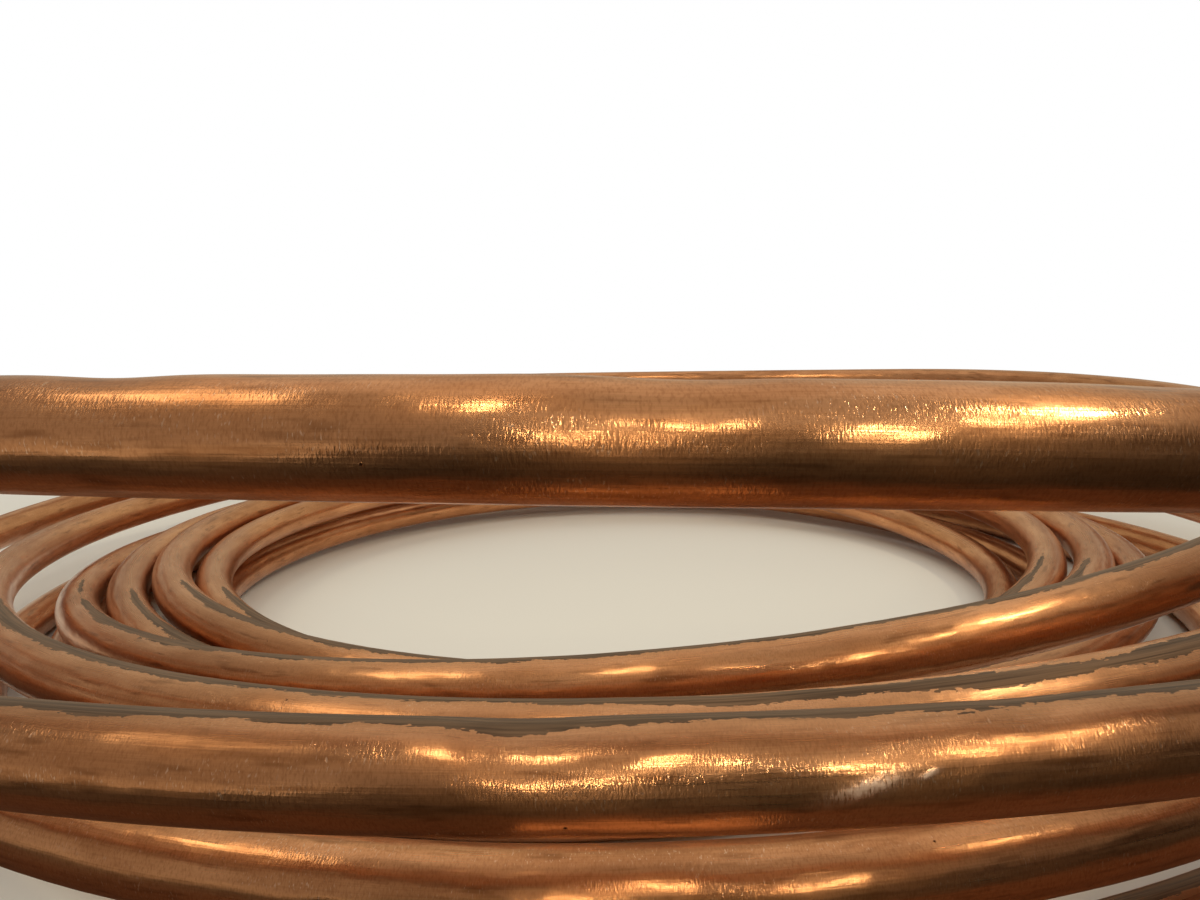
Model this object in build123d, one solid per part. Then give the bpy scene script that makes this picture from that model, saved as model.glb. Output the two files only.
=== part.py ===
from build123d import *
import math
import os

# Loose coil of soft copper tube, lying flat on a floor. The whole coil is one drawn tube:
# the floor layer winds inward, a second layer winds out again on top of it, and then the
# tube springs up into one raised turn and falls back around the outside.
# Millimetres, +Z up, the front is -Y. The finished coil stands on z = 0, with the middle
# of its plan at the origin.

# the tube's own section: 1/2 inch nominal water tube of the heavier wall
TUBE_OUTSIDE = 15.875
TUBE_WALL = 1.016

# the coil
INNER_TURN_RADIUS = 180.0     # middle of the eye to the centre line of the innermost turn
TURN_GAP = 0.6                # air between two turns that lie side by side or on each other
CUT_END = 40.0                # straight stub at each cut end
CUT_EDGE = 0.25               # the cut ends' edges are broken this much, outside and in the bore
TURNS = 11.08                 # how far along the rows below the tube is cut off

# How the tube runs, from its outer end on the floor to its last end on the coil.
# Each row is a quarter turn further, from the front by way of the right side (+X):
# how far the tube lies outside the innermost turn, and how many layers up it is,
# both in tube pitches.
RUN = [
    # the floor layer winds inward
    (7.8, 0.45), (7.7, 0.05), (6.65, 0.0), (5.7, 0.0),
    (5.35, 0.0), (5.15, 0.0), (4.8, 0.0), (4.3, 0.0),
    (3.05, 0.0), (2.0, 0.05), (1.35, 0.4), (0.95, 0.15),
    # it steps up and the second layer winds outward
    (-0.5, 0.0), (0.7, 0.25), (-0.1, 1.6), (0.5, 1.4),
    (0.7, 0.8), (1.7, 1.5), (1.55, 1.85), (1.55, 1.75),
    (1.55, 1.3), (2.8, 1.5), (2.45, 1.3), (2.55, 1.5),
    (2.6, 1.05), (3.75, 1.1), (3.45, 0.95), (3.65, 1.1),
    # the tube springs up into the raised turn
    (3.75, 2.35), (7.9, 4.95), (8.2, 5.2), (9.0, 5.6),
    (9.96, 6.73), (11.4, 3.5), (10.7, 4.0), (10.4, 3.2),
    # and falls back around the outside
    (9.43, 3.93), (10.6, 2.85), (9.4, 2.6), (7.45, 2.15),
    (7.87, 1.83), (7.25, 1.85), (6.4, 2.05), (5.0, 2.1),
    (6.12, 2.65), (8.4, 3.45),
]

# values that follow from the sizes above
PITCH = TUBE_OUTSIDE + TURN_GAP
TUBE_RADIUS = TUBE_OUTSIDE / 2
BORE_RADIUS = TUBE_RADIUS - TUBE_WALL
QUARTERS = min(4 * TURNS, len(RUN) - 1)


def between(rows, share):
    """The value between the middle two of four rows, on a curve that all four shape."""
    before, here, after, beyond = rows
    bend = 2 * before - 5 * here + 4 * after - beyond
    twist = -before + 3 * here - 3 * after + beyond
    return here + (share * (after - before) + share**2 * bend + share**3 * twist) / 2


def place(quarters):
    """The point of the centre line after so many quarter turns."""
    row = min(int(quarters), len(RUN) - 2)
    near = [RUN[min(max(row + step, 0), len(RUN) - 1)] for step in (-1, 0, 1, 2)]
    out = between([outward for outward, layer in near], quarters - row)
    up = between([layer for outward, layer in near], quarters - row)
    radius = INNER_TURN_RADIUS + out * PITCH
    angle = math.pi / 2 * (quarters - 1)
    return Vector(radius * math.cos(angle), radius * math.sin(angle), TUBE_RADIUS + up * PITCH)


def heading_at(quarters):
    """The direction of the centre line there."""
    little = 1e-4
    ahead = place(min(quarters + little, len(RUN) - 1))
    behind = place(max(quarters - little, 0))
    return (ahead - behind).normalized()


def meeting_point(start, leaving, stop, arriving):
    """Where two arcs meet that leave and arrive in the given directions."""
    span = stop - start
    along = span.dot(leaving + arriving)
    spread = 2 * (1 - leaving.dot(arriving))
    reach = (math.sqrt(along**2 + spread * span.dot(span)) - along) / spread
    return (start + stop + (leaving - arriving) * reach) / 2


def arc_points():
    """The points where one arc of the centre line hands over to the next, two arcs a quarter."""
    steps = [*range(math.ceil(QUARTERS)), QUARTERS]
    points = [place(0)]
    for near, far in zip(steps, steps[1:]):
        start, stop = place(near), place(far)
        points += [meeting_point(start, heading_at(near), stop, heading_at(far)), stop]
    return points


def arc_to(target, start, heading):
    """The axis, turn and radius of the arc that leaves along the heading and ends at the target."""
    span = target - start
    sideways = span - heading * span.dot(heading)
    radius = span.dot(span) / (2 * sideways.length)
    turn = 2 * math.degrees(math.atan2(sideways.length, span.dot(heading)))
    axis = Axis(start + sideways.normalized() * radius, heading.cross(sideways))
    return axis, turn, radius


def walls(piece):
    """The faces that run along the tube: its outside and its bore."""
    return [face for face in piece.faces() if face.geom_type != GeomType.PLANE]


def tube_faces():
    """All faces of the square-cut tube, its length and the radii of its arcs."""
    points = arc_points()
    heading = heading_at(0)
    start = points[0] - heading * CUT_END
    ring = Plane(origin=start, z_dir=heading) * (Circle(TUBE_RADIUS) - Circle(BORE_RADIUS))
    section = ring.face()
    faces = [section, *walls(extrude(section, CUT_END, dir=heading))]
    section = section.moved(Location(heading * CUT_END))
    length = 2 * CUT_END
    radii = []
    for here, target in zip(points, points[1:]):
        axis, turn, radius = arc_to(target, here, heading)
        faces += walls(revolve(section, axis, turn))
        section = section.rotate(axis, turn)
        heading = heading.rotate(axis, turn)
        length += radius * math.radians(turn)
        radii.append(radius)
    faces += walls(extrude(section, CUT_END, dir=heading))
    faces.append(section.moved(Location(heading * CUT_END)))
    return faces, length, radii


def main():
    os.makedirs("parts", exist_ok=True)
    faces, length, radii = tube_faces()
    tube = Solid(Shell(faces))
    cut_faces = tube.faces().filter_by(GeomType.PLANE)
    tube = tube.chamfer(CUT_EDGE, None, cut_faces.edges())
    box = tube.bounding_box()
    tube = tube.moved(Location((-box.center().X, -box.center().Y, -box.min.Z)))
    export_step(tube, "parts/copper_tube.step")
    metal = math.pi * (TUBE_RADIUS**2 - BORE_RADIUS**2) * length
    print(f"tube {length:.0f} mm long, arcs {min(radii):.0f} to {max(radii):.0f} mm")
    print(f"the eye's middle is at {-box.center().X:.2f}, {-box.center().Y:.2f}, lowest {box.min.Z:.3f}")
    print(f"volume over section times length {tube.volume / metal:.6f}, valid {tube.is_valid}")


main()
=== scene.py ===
import math

import bpy
import numpy as np
from mathutils import Matrix, Vector


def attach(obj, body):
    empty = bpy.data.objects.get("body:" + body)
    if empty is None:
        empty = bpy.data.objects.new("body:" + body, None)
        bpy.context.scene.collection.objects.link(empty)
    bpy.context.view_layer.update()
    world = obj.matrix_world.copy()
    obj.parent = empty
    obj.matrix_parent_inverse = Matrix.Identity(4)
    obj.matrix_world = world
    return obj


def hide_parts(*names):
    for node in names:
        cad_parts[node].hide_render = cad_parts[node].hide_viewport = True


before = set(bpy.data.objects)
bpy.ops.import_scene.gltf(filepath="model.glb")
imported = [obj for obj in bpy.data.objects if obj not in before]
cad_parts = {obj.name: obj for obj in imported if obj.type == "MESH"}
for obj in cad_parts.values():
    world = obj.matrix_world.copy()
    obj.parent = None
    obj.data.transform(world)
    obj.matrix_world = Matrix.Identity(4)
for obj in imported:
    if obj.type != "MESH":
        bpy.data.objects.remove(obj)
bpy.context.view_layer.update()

# A loose coil of soft copper tube on a floor, with the most detail in front, where the camera
# is near. The scene is in metres, and the tube's own sizes are in millimetres.
MM = 0.001

# Sizes of the tube and of its run, as the CAD source has them. Each row of the run is a quarter
# turn further: how far out the tube lies and how many layers up, both in tube pitches.
TUBE_OUTSIDE = 15.875
TUBE_WALL = 1.016
INNER_TURN_RADIUS = 180.0
TURN_GAP = 0.6                # air between two turns side by side or on each other
CUT_END = 40.0                # straight stub at each cut end
CUT_EDGE = 0.25
TURNS = 11.08                 # how far along the rows the tube is cut off
RUN = [
    # the floor layer winds inward
    (7.8, 0.45), (7.7, 0.05), (6.65, 0.0), (5.7, 0.0),
    (5.35, 0.0), (5.15, 0.0), (4.8, 0.0), (4.3, 0.0),
    (3.05, 0.0), (2.0, 0.05), (1.35, 0.4), (0.95, 0.15),
    # it steps up and the second layer winds outward
    (-0.5, 0.0), (0.7, 0.25), (-0.1, 1.6), (0.5, 1.4),
    (0.7, 0.8), (1.7, 1.5), (1.55, 1.85), (1.55, 1.75),
    (1.55, 1.3), (2.8, 1.5), (2.45, 1.3), (2.55, 1.5),
    (2.6, 1.05), (3.75, 1.1), (3.45, 0.95), (3.65, 1.1),
    # the tube springs up into the raised turn
    (3.75, 2.35), (7.9, 4.95), (8.2, 5.2), (9.0, 5.6),
    (9.96, 6.73), (11.4, 3.5), (10.7, 4.0), (10.4, 3.2),
    # and falls back around the outside
    (9.43, 3.93), (10.6, 2.85), (9.4, 2.6), (7.45, 2.15),
    (7.87, 1.83), (7.25, 1.85), (6.4, 2.05), (5.0, 2.1),
    (6.12, 2.65), (8.4, 3.45),
]
PITCH = TUBE_OUTSIDE + TURN_GAP
TUBE_RADIUS = TUBE_OUTSIDE / 2
BORE_RADIUS = TUBE_RADIUS - TUBE_WALL
LAST = 4 * TURNS

# How finely the tube is modelled.
RING_POINTS = 32
RING_STEP = 1.4               # in front, where the tube is seen from near by
WIDE_STEP = 6                 # elsewhere each sixth of those rings is enough
NEAR_FROM = 27                # the row of the run after which the tube passes near the camera
NEAR_FRONT = 0.18             # how many quarter turns to each side of the front that lasts
SEEN_BORE = 240.0             # how deep the bore is modelled at each end
SKIN_INSIDE = 0.1             # how far the skin stays inside the size of the CAD tube
SHARP_FROM = 40               # an edge that turns by more degrees than this is shown sharp


# The centre line, in the frame of the eye's middle

def between(rows, share):
    """The value between the middle two of four rows, on a curve that all four shape."""
    before, here, after, beyond = rows
    bend = 2 * before - 5 * here + 4 * after - beyond
    twist = -before + 3 * here - 3 * after + beyond
    return here + (share * (after - before) + share**2 * bend + share**3 * twist) / 2


def place(quarters):
    """The point of the centre line after so many quarter turns."""
    row = min(int(quarters), len(RUN) - 2)
    near = [RUN[min(max(row + step, 0), len(RUN) - 1)] for step in (-1, 0, 1, 2)]
    radius = INNER_TURN_RADIUS + PITCH * between([out for out, up in near], quarters - row)
    height = TUBE_RADIUS + PITCH * between([up for out, up in near], quarters - row)
    angle = math.pi / 2 * (quarters - 1)
    return np.array((radius * math.cos(angle), radius * math.sin(angle), height))


def heading_at(quarters):
    """The direction of the centre line there."""
    little = 1e-4
    step = place(min(quarters + little, len(RUN) - 1)) - place(max(quarters - little, 0))
    return step / np.linalg.norm(step)


def meeting_point(start, leaving, stop, arriving):
    """Where two arcs meet that leave and arrive in the given directions."""
    span = stop - start
    along = span @ (leaving + arriving)
    spread = 2 * (1 - leaving @ arriving)
    reach = (math.sqrt(along**2 + spread * (span @ span)) - along) / spread
    return (start + stop + (leaving - arriving) * reach) / 2


def from_front(quarters):
    """How many quarter turns a place on the tube is from the front of the coil."""
    return np.abs((quarters + 2) % 4 - 2)


def centre_line():
    """Evenly spaced rings: where each is, which way the tube heads there, how far along the
    tube and along the rows of the run."""
    places, headings, lengths, quarters = [], [], [], []
    gone = 0.0

    def straight(start, heading, quarter):
        for share in np.linspace(0, 1, round(CUT_END / RING_STEP), endpoint=False):
            places.append(start + heading * CUT_END * share)
            headings.append(heading)
            lengths.append(gone + CUT_END * share)
            quarters.append(quarter)

    straight(place(0) - heading_at(0) * CUT_END, heading_at(0), 0.0)
    gone += CUT_END
    steps = [*range(math.ceil(LAST)), LAST]
    for near, far in zip(steps, steps[1:]):
        heading = heading_at(near)
        start, stop = place(near), place(far)
        meet = meeting_point(start, heading, stop, heading_at(far))
        for half, (a, b) in enumerate(((start, meet), (meet, stop))):
            span = b - a
            sideways = span - heading * (span @ heading)
            offset = np.linalg.norm(sideways)
            inward = sideways / offset
            radius = (span @ span) / (2 * offset)
            turn = 2 * math.atan2(offset, span @ heading)
            for share in np.linspace(0, 1, round(radius * turn / RING_STEP), endpoint=False):
                angle = turn * share
                ahead, aside = radius * math.sin(angle), radius * (1 - math.cos(angle))
                places.append(a + heading * ahead + inward * aside)
                headings.append(heading * math.cos(angle) + inward * math.sin(angle))
                lengths.append(gone + radius * angle)
                quarters.append(near + (far - near) * (half + share) / 2)
            heading = heading * math.cos(turn) + inward * math.sin(turn)
            gone += radius * turn
    straight(place(LAST), heading, LAST)
    places.append(place(LAST) + heading * CUT_END)
    headings.append(heading)
    lengths.append(gone + CUT_END)
    quarters.append(LAST)
    return [np.array(values, float) for values in (places, headings, lengths, quarters)]


def thinned(line):
    """The same line with every ring where it is seen from near by, and fewer elsewhere."""
    quarters = line[3]
    near_by = (from_front(quarters) < NEAR_FRONT) & (quarters > NEAR_FROM)
    kept = near_by | (np.arange(len(quarters)) % WIDE_STEP == 0)
    kept[-1] = True
    return [values[kept] for values in line]


def middle_of_eye(places):
    """Where the middle of the eye lies in the part's frame, whose origin is under the middle of
    the coil's box."""
    low, high = places.min(axis=0), places.max(axis=0)
    return np.array((-(low[0] + high[0]) / 2, -(low[1] + high[1]) / 2, TUBE_RADIUS - low[2]))


FULL_LINE = centre_line()
LINE = thinned(FULL_LINE)
EYE = middle_of_eye(FULL_LINE[0])


# Dents and flats that show from the front: quarter of the run where each lies, angle round
# the tube in degrees, from its outer side over its crown, and depth, length and width in
# millimetres. At rows 28, 32, 36, 40 and 44 of the run the tube crosses the front.
DENTS = [
    # the raised turn
    (31.878, 88, 0.55, 9, 6), (31.93, 80, 0.25, 14, 7), (31.962, 62, 0.3, 9, 5),
    (32.012, 86, 0.6, 11, 7), (32.0, 35, 0.35, 14, 6), (32.05, 88, 0.3, 16, 7),
    (32.084, 55, 0.3, 12, 6), (32.118, 84, 0.45, 12, 6), (31.9, 30, 0.25, 14, 6),
    # the next turn, with the deepest dent
    (35.972, 74, 0.65, 9, 7), (35.985, 44, 0.45, 11, 5.5), (36.06, 62, 0.35, 12, 5),
    (36.1, 74, 0.5, 9, 6), (35.9, 40, 0.25, 16, 6), (36.02, 20, 0.3, 10, 5),
    # the turn before the raised one
    (27.97, 66, 0.4, 10, 5), (28.1, 60, 0.4, 9, 5), (28.05, 30, 0.25, 12, 5),
    # the last two turns
    (39.95, 70, 0.3, 14, 6), (40.04, 66, 0.3, 10, 5), (44.05, 70, 0.4, 12, 6),
]

# Marks too small for the mesh, as bump: quarter of the run, angle, slant from the tube's own
# direction, length, width and depth in millimetres. A scrape also bares dull, bright copper.
CREASES = [
    # round the deepest dent
    (35.985, 40, 6, 10, 1.9, 0.08), (36.008, 47, 6, 9, 1.6, 0.05),
    (35.955, 50, -6, 10, 1.9, 0.05),
    # three faint slanting ones on the last turn but one
    (40.018, 62, 62, 1.6, 0.3, 0.035), (40.0215, 61, 66, 1.4, 0.28, 0.03),
    (40.025, 62, 58, 2.0, 0.34, 0.04),
    # along the raised turn
    (32.02, 20, 4, 9, 1.6, 0.05), (31.97, 24, -5, 8, 1.6, 0.05),
]
SCRAPES = [(36.053, 8, 13, 5.6, 1.2, 0.22), (36.068, 18, 20, 1.6, 0.5, 0.1)]

# Where the film hangs down into the deepest dent, as a dent is given, and by how much.
FILM_LOBE = (35.972, 70, 6, 9)
FILM_LOBE_REACH = 1.6
BARE_COPPER = 6.0             # so far outside the film, in millimetres, nothing of it shows


def waves(values, seed, reach):
    """Smooth, seeded unevenness along the tube, about -1 to 1, in waves of up to that reach."""
    dice = np.random.default_rng(seed)
    total = np.zeros_like(values)
    for step in range(4):
        wave_length = reach / (1.0 + 0.9 * step)
        total += np.sin(2 * np.pi * values / wave_length + dice.uniform(0, 6.28)) / (1 + step)
    return total / 2.0


def spot(turn, lengths, quarters, patch):
    """A soft round patch on the tube: 1 in its middle, falling off over its length and width."""
    quarter, angle, length, width = patch
    along = lengths - np.interp(quarter, quarters, lengths)
    across = np.angle(np.exp(1j * (turn - math.radians(angle)))) * TUBE_RADIUS
    return np.exp(-(along[:, None] / length) ** 2 - (across[None] / width) ** 2)


def within(quarters, start, stop):
    """1 between two places on the run and 0 outside, with a short slope at each end."""
    slope = 0.4
    return np.clip((quarters - start) / slope, 0, 1) * np.clip((stop - quarters) / slope, 0, 1)


def film_depth(turn, lengths, quarters):
    """How far inside the grey film each point lies, in millimetres round the tube. In front the
    film lies along the crown of every turn, from its outer shoulder over to the side of the
    eye, but the raised turn and the last one but one have none."""
    outer = np.radians(82 + 4 * waves(lengths, 11, 420.0) + 2 * waves(lengths, 12, 60.0))
    inner = np.radians(122 + 9 * waves(lengths, 13, 350.0) + 5 * waves(lengths, 14, 60.0))
    # on the last turn it slips down to the outer side as it nears the end of the tube
    slip = np.radians(24) * np.clip((quarters - 43.95) / 0.25, 0, 1)
    outer, inner = outer - slip, inner - 1.3 * slip
    depth = np.minimum(turn[None] - outer[:, None], inner[:, None] - turn[None]) * TUBE_RADIUS
    bare = np.maximum(within(quarters, 28.6, 35.2), within(quarters, 38.6, 41.4))
    sides = np.clip((from_front(quarters) - 0.5) / 0.3, 0, 1)
    sides *= 0.8 + 0.4 * waves(lengths, 15, 90.0)
    depth = depth - BARE_COPPER * np.maximum(bare, sides)[:, None]
    return depth + FILM_LOBE_REACH * spot(turn, lengths, quarters, FILM_LOBE)


def tube_mesh():
    """The tube's skin, its sawn ends with their edges broken, and the bore as deep as anyone
    sees into it. It is one sleeve of rings, from deep in the first bore over the skin to deep
    in the last bore."""
    places, headings, lengths, quarters = LINE
    side = np.cross(headings, (0.0, 0.0, 1.0))
    side /= np.linalg.norm(side, axis=1)[:, None]
    crown = np.cross(side, headings)
    turn = np.linspace(-np.pi / 2, 1.5 * np.pi, RING_POINTS, endpoint=False)

    # in millimetres: a bent tube is a little flat inward and outward, and never quite even
    flat = 0.16 + 0.1 * waves(lengths, 3, 900.0)
    lean = 0.35 * waves(lengths, 4, 500.0)
    uneven = 0.05 + 0.05 * waves(lengths, 5, 70.0)
    skin = np.full((len(places), RING_POINTS), TUBE_RADIUS - SKIN_INSIDE)
    skin -= flat[:, None] * np.cos(turn[None] - lean[:, None]) ** 2
    skin -= uneven[:, None] * (1 + np.cos(2 * turn[None] + 1.3)) / 2
    for quarter, angle, depth, length, width in DENTS:
        skin -= depth * spot(turn, lengths, quarters, (quarter, angle, length, width))

    # each ring: the place on the line, how far it is moved along the line, and its radii
    bore = np.full(RING_POINTS, BORE_RADIUS)
    first, last = 0, len(places) - 1
    first_bore = [k for k in range(1, last) if lengths[k] - lengths[first] < SEEN_BORE]
    last_bore = [k for k in range(1, last) if lengths[last] - lengths[k] < SEEN_BORE]
    rings = [(k, 0.0, bore) for k in reversed(first_bore)]
    rings += [(first, CUT_EDGE, bore), (first, 0.0, bore + CUT_EDGE)]
    rings += [(first, 0.0, skin[first] - CUT_EDGE), (first, CUT_EDGE, skin[first])]
    rings += [(k, 0.0, skin[k]) for k in range(first + 1, last)]
    rings += [(last, -CUT_EDGE, skin[last]), (last, 0.0, skin[last] - CUT_EDGE)]
    rings += [(last, 0.0, bore + CUT_EDGE), (last, -CUT_EDGE, bore)]
    rings += [(k, 0.0, bore) for k in reversed(last_bore)]
    at = np.array([k for k, moved, radii in rings])
    moved = np.array([moved for k, moved, radii in rings])
    radii = np.array([radii for k, moved, radii in rings])

    sideways, upward = radii * np.cos(turn), radii * np.sin(turn)
    middles = places[at] + headings[at] * moved[:, None] + EYE
    points = middles[:, None] + sideways[..., None] * side[at][:, None]
    points += upward[..., None] * crown[at][:, None]
    along = np.broadcast_to((lengths[at] + moved)[:, None], radii.shape)
    film = film_depth(turn, lengths, quarters)[at]
    film[radii.max(axis=1) < BORE_RADIUS + 2 * CUT_EDGE] = -1.5 * BARE_COPPER

    around = np.arange(RING_POINTS)
    beside = np.roll(around, -1)
    faces = [around[::-1].tolist(), (around + (len(rings) - 1) * RING_POINTS).tolist()]
    for ring in range(len(rings) - 1):
        near, far = ring * RING_POINTS, (ring + 1) * RING_POINTS
        faces += np.stack([near + around, near + beside, far + beside, far + around], 1).tolist()
    mesh = bpy.data.meshes.new("copper_tube_coil")
    mesh.from_pydata((points * MM).reshape(-1, 3).tolist(), [], faces)
    mesh.update()
    mesh.shade_smooth()
    mesh.set_sharp_from_angle(angle=math.radians(SHARP_FROM))

    # for the material: each point on the tube as if it ran straight, the direction round the
    # tube there, and how far inside the film the point lies
    unrolled = np.stack([along, sideways, upward], -1)
    round_tube = np.cos(turn)[:, None] * crown[at][:, None]
    round_tube = round_tube - np.sin(turn)[:, None] * side[at][:, None]
    for name, kind, field, values in (("unrolled", "FLOAT_VECTOR", "vector", unrolled),
                                      ("round_tube", "FLOAT_VECTOR", "vector", round_tube),
                                      ("film", "FLOAT", "value", film)):
        attribute = mesh.attributes.new(name, kind, "POINT")
        attribute.data.foreach_set(field, values.astype(np.float32).ravel())
    return mesh


# Materials

def linear(code):
    """An sRGB hex colour as the linear values that Blender's sockets take."""
    parts = [int(code[k:k + 2], 16) / 255 for k in (1, 3, 5)]
    return (*[p / 12.92 if p <= 0.04045 else ((p + 0.055) / 1.055) ** 2.4 for p in parts], 1.0)


# the colour sockets of a Mix node, which share their names with its number sockets
FIRST, SECOND, MIXED = 6, 7, 2


def add_node(tree, kind, sockets=None, **settings):
    """Adds a node with its settings, and sets or links each socket named. Gives its outputs."""
    node = tree.nodes.new("ShaderNode" + kind)
    for name, value in settings.items():
        setattr(node, name, value)
    for socket, value in (sockets or {}).items():
        if isinstance(value, bpy.types.NodeSocket):
            tree.links.new(value, node.inputs[socket])
        else:
            node.inputs[socket].default_value = value
    return node.outputs


def new_material(name):
    """A material with an empty node tree, and that tree."""
    material = bpy.data.materials.new(name)
    material.use_nodes = True
    material.node_tree.nodes.clear()
    return material, material.node_tree


# Patterns on the unrolled tube: how long and how wide their grains are, in millimetres, how
# many finer layers they have, and how strong those are. The grain and the nicks run across
# the tube, and are about twice as coarse as they are, because they would not show otherwise.
# The nicks also carry painted glints in their pale colour.
PATTERNS = {
    "draw lines": (60, 0.45, 2, 0.65),
    "smudges": (22, 6, 2, 0.62),
    "clouds": (90, 22, 2, 0.55),
    "stains": (14, 2.2, 2, 0.6),
    "long dents": (26, 8, 1, 0.5),
    "shallows": (10, 4, 1, 0.5),
    "ripple": (5, 2.2, 1, 0.5),
    "grain": (0.32, 0.8, 1, 0.6),
    "rubbed": (24, 3.5, 1, 0.6),
    "nicks_and_glints": (0.3, 0.9, 1, 0.4),
    "scuffs": (0.25, 1.2, 1, 0.6),
    "film tears": (2.2, 0.9, 2, 0.6),
    "film lobes": (16, 4, 1, 0.5),
    "film streaks": (40, 0.7, 2, 0.6),
}
PIT_SPACING = 8.0


def tube_patterns(tree, on_tube):
    """All the patterns as noise, and the few small pits."""
    pattern = {}
    for name, (long, wide, layers, strength) in PATTERNS.items():
        scale = (1 / long, 1 / wide, 1 / wide)
        stretched = add_node(tree, "Mapping", {"Vector": on_tube, "Scale": scale})["Vector"]
        pattern[name] = add_node(tree, "TexNoise", {
            "Vector": stretched, "Scale": 1.0, "Detail": layers, "Roughness": strength})["Fac"]
    cells = add_node(tree, "TexVoronoi", {"Vector": on_tube, "Scale": 1 / PIT_SPACING})
    chosen = add_node(tree, "SeparateColor", {"Color": cells["Color"]})["Red"]
    pattern["pits"] = cells["Distance"]
    pattern["pitted cells"] = chosen

    # those that count only above or below a level
    for name, start, full in (("rubbed", 0.46, 0.64), ("nicks_and_glints", 0.64, 0.72), ("scuffs", 0.2, 0.6),
                              ("pits", 0.035, 0.02), ("pitted cells", 0.5, 0.52)):
        pattern[name] = add_node(tree, "MapRange", {
            "Value": pattern[name], "From Min": start, "From Max": full})["Result"]
    for name, where in (("nicks_and_glints", "rubbed"), ("pits", "pitted cells")):
        pattern[name] = add_node(tree, "Math", {
            0: pattern[name], 1: pattern[where]}, operation="MULTIPLY")["Value"]
    return pattern


MARK_FADES = 1.7              # how fast an oval mark falls off from its middle


def oval_mark(tree, on_tube, quarter, angle, slant, length, width):
    """A soft oval of that length and width on the tube, 1 in its middle."""
    angle, slant = math.radians(angle), math.radians(slant)
    middle = Vector((np.interp(quarter, LINE[3], LINE[2]),
                     TUBE_RADIUS * math.cos(angle), TUBE_RADIUS * math.sin(angle)))
    round_tube = Vector((0, -math.sin(angle), math.cos(angle)))
    long_way = Vector((math.cos(slant), 0, 0)) + round_tube * math.sin(slant)
    wide_way = Vector((-math.sin(slant), 0, 0)) + round_tube * math.cos(slant)
    deep_way = long_way.cross(wide_way)
    facing = Matrix((long_way, wide_way, deep_way)).transposed().to_euler()
    through = 1000.0              # as deep as the tube, and more
    across = add_node(tree, "Mapping", {
        "Vector": on_tube, "Location": middle, "Rotation": facing,
        "Scale": (length, width, through)}, vector_type="TEXTURE")["Vector"]
    squared = add_node(tree, "VectorMath", {0: across, 1: across}, operation="DOT_PRODUCT")["Value"]
    return add_node(tree, "Math", {
        0: math.exp(-MARK_FADES), 1: squared}, operation="POWER")["Value"]


def copper_relief(tree, on_tube, pattern):
    """The bump of the copper, summed in millimetres, and where it is scraped."""
    # a scrape has a ragged outline
    wobble = add_node(tree, "TexNoise", {"Vector": on_tube, "Scale": 0.7, "Detail": 1.0})["Fac"]
    wobble = add_node(tree, "MapRange", {"Value": wobble, "To Min": -0.6, "To Max": 0.6})["Result"]
    ragged = add_node(tree, "VectorMath", {0: on_tube, 1: wobble}, operation="ADD")["Vector"]
    layers = [(pattern["draw lines"], 0.022), (pattern["long dents"], 0.45),
              (pattern["shallows"], 0.13), (pattern["ripple"], 0.07), (pattern["grain"], 0.014),
              (pattern["nicks_and_glints"], 0.008), (pattern["pits"], -0.08)]
    layers += [(oval_mark(tree, on_tube, *shape), -depth) for *shape, depth in CREASES]
    scraped = 0.0
    for *shape, depth in SCRAPES:
        scrape = oval_mark(tree, ragged, *shape)
        layers.append((scrape, -depth))
        scraped = add_node(tree, "Math", {0: scrape, 1: scraped}, operation="ADD")["Value"]
    scraped = add_node(tree, "Math", {
        0: scraped, 1: pattern["scuffs"]}, operation="MULTIPLY")["Value"]
    coarser = add_node(tree, "Math", {
        0: pattern["rubbed"], 1: scraped}, operation="MAXIMUM")["Value"]
    coarser = add_node(tree, "Math", {
        0: pattern["grain"], 1: coarser}, operation="MULTIPLY")["Value"]
    layers.append((coarser, 0.026))

    # the heights are in millimetres, and so is the bump's distance
    height = 0.0
    for layer, depth in layers:
        height = add_node(tree, "Math", {
            0: layer, 1: depth, 2: height}, operation="MULTIPLY_ADD")["Value"]
    normal = add_node(tree, "Bump", {"Strength": 1.0, "Distance": MM, "Height": height})["Normal"]
    return normal, scraped


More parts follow.
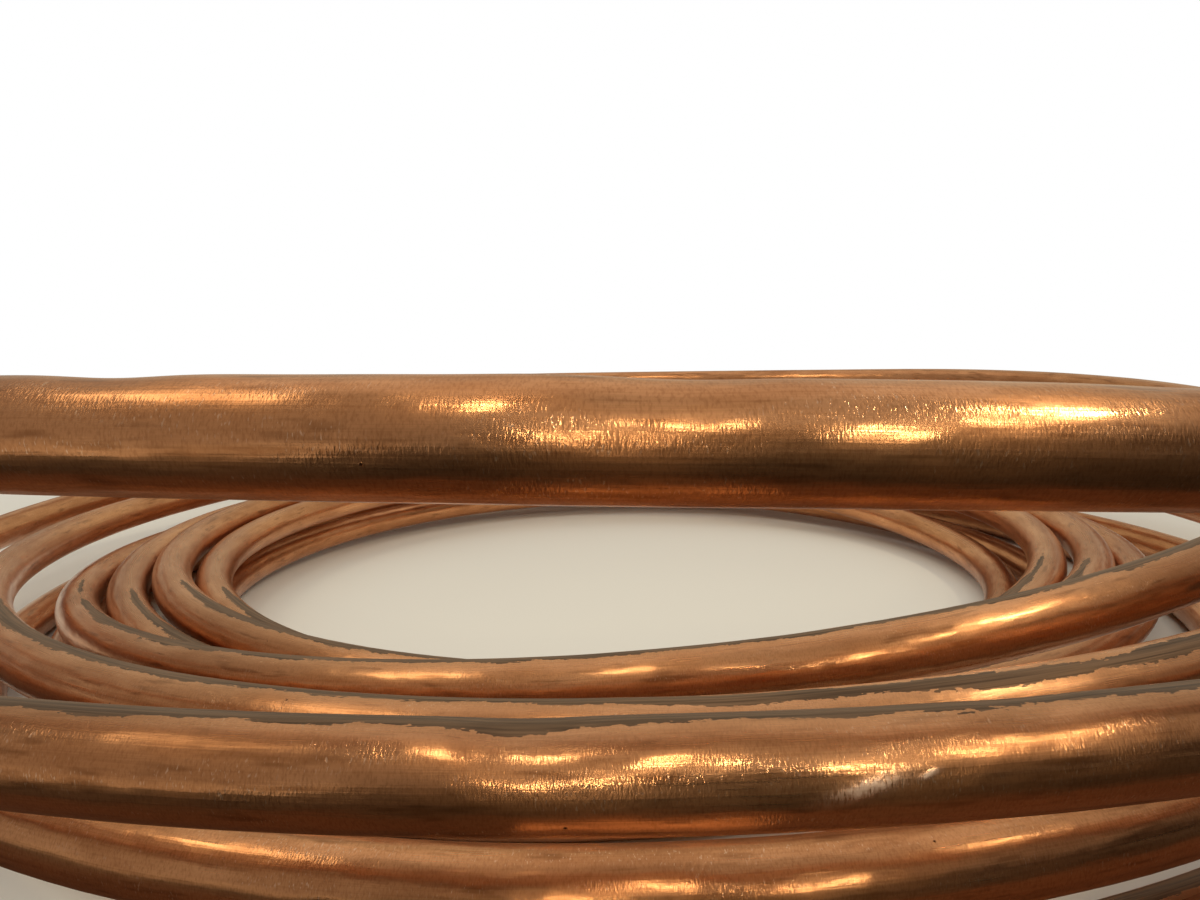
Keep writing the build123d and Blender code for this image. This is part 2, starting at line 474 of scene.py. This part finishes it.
def copper_material():
    """Soft copper tube, drawn through a die and annealed: fine lines run along it, its gloss is
    soft, and handling has left nicks, pits, dull smudges and a dry grey film on its crown. The
    nicks are tinted pale as painted glints."""
    material, tree = new_material("drawn_annealed_copper")
    on_tube = add_node(tree, "Attribute", attribute_name="unrolled")["Vector"]
    in_film = add_node(tree, "Attribute", attribute_name="film")["Fac"]
    pattern = tube_patterns(tree, on_tube)
    normal, scraped = copper_relief(tree, on_tube, pattern)

    # beside the film the copper is duller, and a painted sheen makes it paler, more so within its
    # last millimetres
    beside_film = add_node(tree, "MapRange", {
        "Value": in_film, "From Min": -5.5, "From Max": -1.0})["Result"]

    # each tint over those before it: between which levels of its pattern it comes in, and how far
    colour = linear("#e8aa79")
    for share, start, full, most, code in (
            (pattern["smudges"], 0.38, 0.66, 1.0, "#d19466"),
            (pattern["clouds"], 0.42, 0.66, 0.5, "#ac7148"),
            (pattern["draw lines"], 0.5, 0.7, 0.2, "#8f5630"),
            (pattern["stains"], 0.58, 0.72, 0.55, "#7d4c2b"),
            (pattern["grain"], 0.45, 0.7, 0.35, "#9a6038"),
            # the nicks' pale tint is a painted glint
            (pattern["nicks_and_glints"], 0.0, 1.0, 0.6, "#f0c8a8"),
            (scraped, 0.0, 0.7, 1.0, "#f8dccb"),
            (pattern["pits"], 0.0, 1.0, 1.0, "#4a2d1c"),
            # a painted sheen: paler copper just outside the film
            (beside_film, 0.0, 1.0, 0.3, "#f2c197")):
        share = add_node(tree, "MapRange", {
            "Value": share, "From Min": start, "From Max": full, "To Max": most})["Result"]
        colour = add_node(tree, "Mix", {
            0: share, FIRST: colour, SECOND: linear(code)}, data_type="RGBA")[MIXED]

    # what makes the copper duller, in the same way
    rough = 0.14
    for share, start, full, most in (
            (pattern["smudges"], 0.35, 0.7, 0.12), (pattern["draw lines"], 0.3, 0.7, 0.08),
            (pattern["pits"], 0.0, 1.0, 0.3), (scraped, 0.0, 0.7, 0.34),
            (beside_film, 0.0, 1.0, 0.12)):
        share = add_node(tree, "MapRange", {
            "Value": share, "From Min": start, "From Max": full, "To Max": most})["Result"]
        rough = add_node(tree, "Math", {0: share, 1: rough}, operation="ADD")["Value"]

    # The drawn lines spread a reflection round the tube and leave it short along the tube. There
    # is a soft gloss from the grain and a crisp one from the die, so a lamp has a glow and a core.
    # Each takes the roughness above, by a factor and with some added.
    round_tube = add_node(tree, "Attribute", attribute_name="round_tube")["Vector"]
    glosses = []
    for factor, added in ((1.2, 0.08), (0.8, 0.0)):
        roughness = add_node(tree, "Math", {
            0: rough, 1: factor, 2: added}, operation="MULTIPLY_ADD")["Value"]
        glosses.append(add_node(tree, "BsdfPrincipled", {
            "Base Color": colour, "Metallic": 1.0, "Roughness": roughness, "Normal": normal,
            "Anisotropic": 0.8, "Tangent": round_tube})["BSDF"])
    crisp_share = 0.6
    copper = add_node(tree, "MixShader", {
        0: crisp_share, 1: glosses[0], 2: glosses[1]})["Shader"]

    # the dry film: dull, streaked along the tube, with a torn edge
    edge = in_film
    for name, reach in (("film tears", 2.6), ("film lobes", 3.2)):
        torn = add_node(tree, "MapRange", {
            "Value": pattern[name], "To Min": -reach / 2, "To Max": reach / 2})["Result"]
        edge = add_node(tree, "Math", {0: edge, 1: torn}, operation="ADD")["Value"]
    covered = add_node(tree, "MapRange", {
        "Value": edge, "From Min": -0.06, "From Max": 0.06})["Result"]
    streak = add_node(tree, "MapRange", {
        "Value": pattern["film streaks"], "From Min": 0.35, "From Max": 0.65})["Result"]
    film_colour = add_node(tree, "Mix", {
        0: streak, FIRST: linear("#886b52"), SECOND: linear("#594433")}, data_type="RGBA")[MIXED]
    film = add_node(tree, "BsdfPrincipled", {
        "Base Color": film_colour, "Metallic": 0.7, "Roughness": 0.45,
        "Specular IOR Level": 0.2, "Normal": normal})["BSDF"]
    skin = add_node(tree, "MixShader", {0: covered, 1: copper, 2: film})["Shader"]
    add_node(tree, "OutputMaterial", {"Surface": skin})
    return material


def card_material(name, code):
    """Matt card in one colour, for painted shade and painted reflections: it is only ever seen
    as a soft reflection in the metal.
    """
    material, tree = new_material(name)
    card = add_node(tree, "BsdfPrincipled", {"Base Color": linear(code), "Roughness": 0.9})["BSDF"]
    add_node(tree, "OutputMaterial", {"Surface": card})
    return material


def floor_material():
    """Smooth matt painted floor, pale. From half a metre to two metres out it turns to the white
    of the background, for the camera alone, so that no horizon shows."""
    material, tree = new_material("matt_painted_floor")
    paint = add_node(tree, "BsdfPrincipled", {
        "Base Color": linear("#dedcd6"), "Roughness": 0.55})["BSDF"]
    white = add_node(tree, "Emission", {"Color": linear("#ffffff"), "Strength": 1.0})["Emission"]
    on_floor = add_node(tree, "TexCoord")["Object"]
    distance = add_node(tree, "VectorMath", {0: on_floor}, operation="LENGTH")["Value"]
    far = add_node(tree, "MapRange", {
        "Value": distance, "From Min": 0.45, "From Max": 1.9},
        interpolation_type="SMOOTHSTEP")["Result"]
    seen = add_node(tree, "LightPath")["Is Camera Ray"]
    share = add_node(tree, "Math", {0: far, 1: seen}, operation="MULTIPLY")["Value"]
    both = add_node(tree, "MixShader", {0: share, 1: paint, 2: white})["Shader"]
    add_node(tree, "OutputMaterial", {"Surface": both})
    return material


# The tube

mesh = tube_mesh()
tube = bpy.data.objects.new("tube_coil", mesh)
bpy.context.scene.collection.objects.link(tube)
mesh.materials.append(copper_material())
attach(tube, "root")
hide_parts("copper_tube")


# Floor, light and camera

FLOOR_REACH = 6
floor_mesh = bpy.data.meshes.new("floor")
corners = [(x * FLOOR_REACH, y * FLOOR_REACH, 0) for x, y in ((-1, -1), (1, -1), (1, 1), (-1, 1))]
floor_mesh.from_pydata(corners, [], [(0, 1, 2, 3)])
floor = bpy.data.objects.new("floor", floor_mesh)
bpy.context.scene.collection.objects.link(floor)
floor_mesh.materials.append(floor_material())


def area_light(name, location, target, size, power, colour):
    """A flat lamp of that width and height in metres and power in watts, aimed at the target."""
    light = bpy.data.lights.new(name, "AREA")
    light.shape = "RECTANGLE"
    light.size, light.size_y = size
    light.energy = power
    light.color = linear(colour)[:3]
    lamp = bpy.data.objects.new(name, light)
    bpy.context.scene.collection.objects.link(lamp)
    lamp.location = location
    lamp.rotation_euler = (Vector(target) - Vector(location)).to_track_quat("-Z", "Y").to_euler()


# A soft light hangs overhead. A window and small warm lamps stand round the front turns: how far
# each is turned to the right and raised, in degrees, its width and height in metres and its
# power in watts.
FRONT_TURNS = Vector((0, -0.35, 0.1))
LAMP_DISTANCE = 1.3
SOFT_WHITE = "#fff8ef"
WARM_WHITE = "#ffedc6"

area_light("overhead", (0, 0.6, 1.9), (0, 0, 0), (2.4, 1.4), 3.2, SOFT_WHITE)
for name, turned, raised, width, height, power in (
        ("left_window", -92, 53, 0.5, 0.3, 1.4),
        ("lamp_above_left", -39, 70, 0.13, 0.07, 1.4),
        ("lamp_ahead", -6, 17, 0.1, 0.05, 0.9),
        ("lamp_middle", 6, 38, 0.13, 0.06, 1.25),
        ("lamp_right", 27, 24, 0.13, 0.055, 1.1),
        ("lamp_right_high", 48, 40, 0.1, 0.055, 0.95),
        ("lamp_far_right", 75, 50, 0.16, 0.08, 2.4)):
    aim = Matrix.Rotation(math.radians(turned), 3, "Z")
    aim = aim @ Matrix.Rotation(math.radians(-raised), 3, "X")
    area_light(name, FRONT_TURNS + aim @ Vector((0, -LAMP_DISTANCE, 0)), FRONT_TURNS,
               (width, height), power, WARM_WHITE)


CARD_HEIGHT = 0.001           # just above the floor, in metres


def floor_card(name, code, near, far, start, end):
    """A card on the floor in front of the coil that only the metal shows, one of those that carry
    painted shade and painted reflections: part of a ring round the middle of the eye, from one
    distance to another and between two bearings."""
    card_mesh = bpy.data.meshes.new(name)
    steps = 24
    bearings = [math.radians(start + (end - start) * k / steps) for k in range(steps + 1)]
    points = []
    for distance in (near, far):
        for bearing in bearings:
            outward = Vector((math.sin(bearing), -math.cos(bearing), 0)) * distance
            points.append(Vector((EYE[0] * MM, EYE[1] * MM, CARD_HEIGHT)) + outward)
    faces = [(k, k + steps + 1, k + steps + 2, k + 1) for k in range(steps)]
    card_mesh.from_pydata(points, [], faces)
    card_mesh.materials.append(card_material(name, code))
    card = bpy.data.objects.new(name, card_mesh)
    bpy.context.scene.collection.objects.link(card)
    card.visible_camera = False
    card.visible_diffuse = False
    card.visible_shadow = False


# Cards that the front turns mirror from below, all painted light: painted brown shade on the
# left, a painted reflection of more copper on the right with a painted highlight strip where a
# lamp falls on it, and painted dark shade beyond them. For each card its colour, distances in
# metres and bearings in degrees, counted to the right from the front.
for name, code, near, far, start, end in (
        ("painted_shade_left", "#543622", 0.29, 0.4, -75, -4),
        ("painted_copper_reflection_near", "#5f3d26", 0.29, 0.346, -4, 75),
        ("painted_copper_highlight", "#e8b080", 0.346, 0.368, -4, 5),
        ("painted_copper_reflection_right", "#5f3d26", 0.346, 0.368, 5, 75),
        ("painted_copper_reflection_far", "#5f3d26", 0.368, 0.4, -4, 75),
        ("painted_dark_shade", "#0c0a09", 0.4, 0.6, -75, -20),
        ("painted_dark_shade_right", "#0c0a09", 0.4, 2.4, -20, 100)):
    floor_card(name, code, near, far, start, end)

# The room: grey-brown as the metal mirrors it, dark low down in front on the right, paler behind
# the coil, plain and pale where it lights the floor, and white to the camera.
world = bpy.data.worlds.new("studio")
world.use_nodes = True
world_tree = world.node_tree
world_tree.nodes.clear()
rays = add_node(world_tree, "LightPath")
direction = add_node(world_tree, "TexCoord")["Generated"]
axes = add_node(world_tree, "SeparateXYZ", {"Vector": direction})
# each share of the room: its axis, and between which heights on it the share comes in
facing = {}
for name, axis, start, full in (
        ("behind", "Y", 0.3, 0.95), ("right", "X", -0.6, 0.1),
        ("low", "Z", 0.6, 0.2), ("in front", "Y", 0.2, -0.3)):
    facing[name] = add_node(world_tree, "MapRange", {
        "Value": axes[axis], "From Min": start, "From Max": full})["Result"]
dark = add_node(world_tree, "Math", {
    0: facing["low"], 1: facing["in front"]}, operation="MULTIPLY")["Value"]
dark = add_node(world_tree, "Math", {0: dark, 1: facing["right"]}, operation="MULTIPLY")["Value"]
mirrored = add_node(world_tree, "Math", {
    0: rays["Is Glossy Ray"], 1: rays["Is Transmission Ray"]}, operation="MAXIMUM")["Value"]
mirrored = add_node(world_tree, "Math", {
    0: mirrored, 1: facing["behind"]}, operation="MULTIPLY")["Value"]
room = linear("#a0988e")
for share, code in ((facing["right"], "#aca59b"), (dark, "#241d18"), (mirrored, "#cbc5ae"),
                    (rays["Is Diffuse Ray"], "#dcd8d0"), (rays["Is Camera Ray"], "#ffffff")):
    room = add_node(world_tree, "Mix", {
        0: share, FIRST: room, SECOND: linear(code)}, data_type="RGBA")[MIXED]
surround = add_node(world_tree, "Background", {"Color": room, "Strength": 1.0})["Background"]
add_node(world_tree, "OutputWorld", {"Surface": surround})
bpy.context.scene.world = world

# The camera stands close in front of the raised turn, just above it, and leans a little.
PICTURE_WIDTH = 1200
FOCAL_PIXELS = 867
SENSOR_WIDTH = 36.0
NEAREST_SEEN = 0.01
CAMERA_FROM_EYE = (-0.2, -28.02, 8.23)     # in tube widths
LOOKS_DOWN = 7.32                          # in degrees, as is the next
ROLLS = -1.47
camera_data = bpy.data.cameras.new("camera")
camera_data.sensor_width = SENSOR_WIDTH
camera_data.lens = SENSOR_WIDTH * FOCAL_PIXELS / PICTURE_WIDTH
camera_data.clip_start = NEAREST_SEEN
camera = bpy.data.objects.new("camera", camera_data)
bpy.context.scene.collection.objects.link(camera)
down, roll = math.radians(LOOKS_DOWN), math.radians(ROLLS)
ahead = Vector((0, math.cos(down), -math.sin(down)))
level = Vector((1, 0, 0))
lifted = level.cross(ahead)
right = level * math.cos(roll) + lifted * math.sin(roll)
upward = lifted * math.cos(roll) - level * math.sin(roll)
camera.matrix_world = Matrix((right, upward, -ahead)).transposed().to_4x4()
camera.location = (Vector(EYE) + Vector(CAMERA_FROM_EYE) * TUBE_OUTSIDE) * MM
bpy.context.scene.camera = camera

bpy.context.scene.view_settings.view_transform = "Standard"
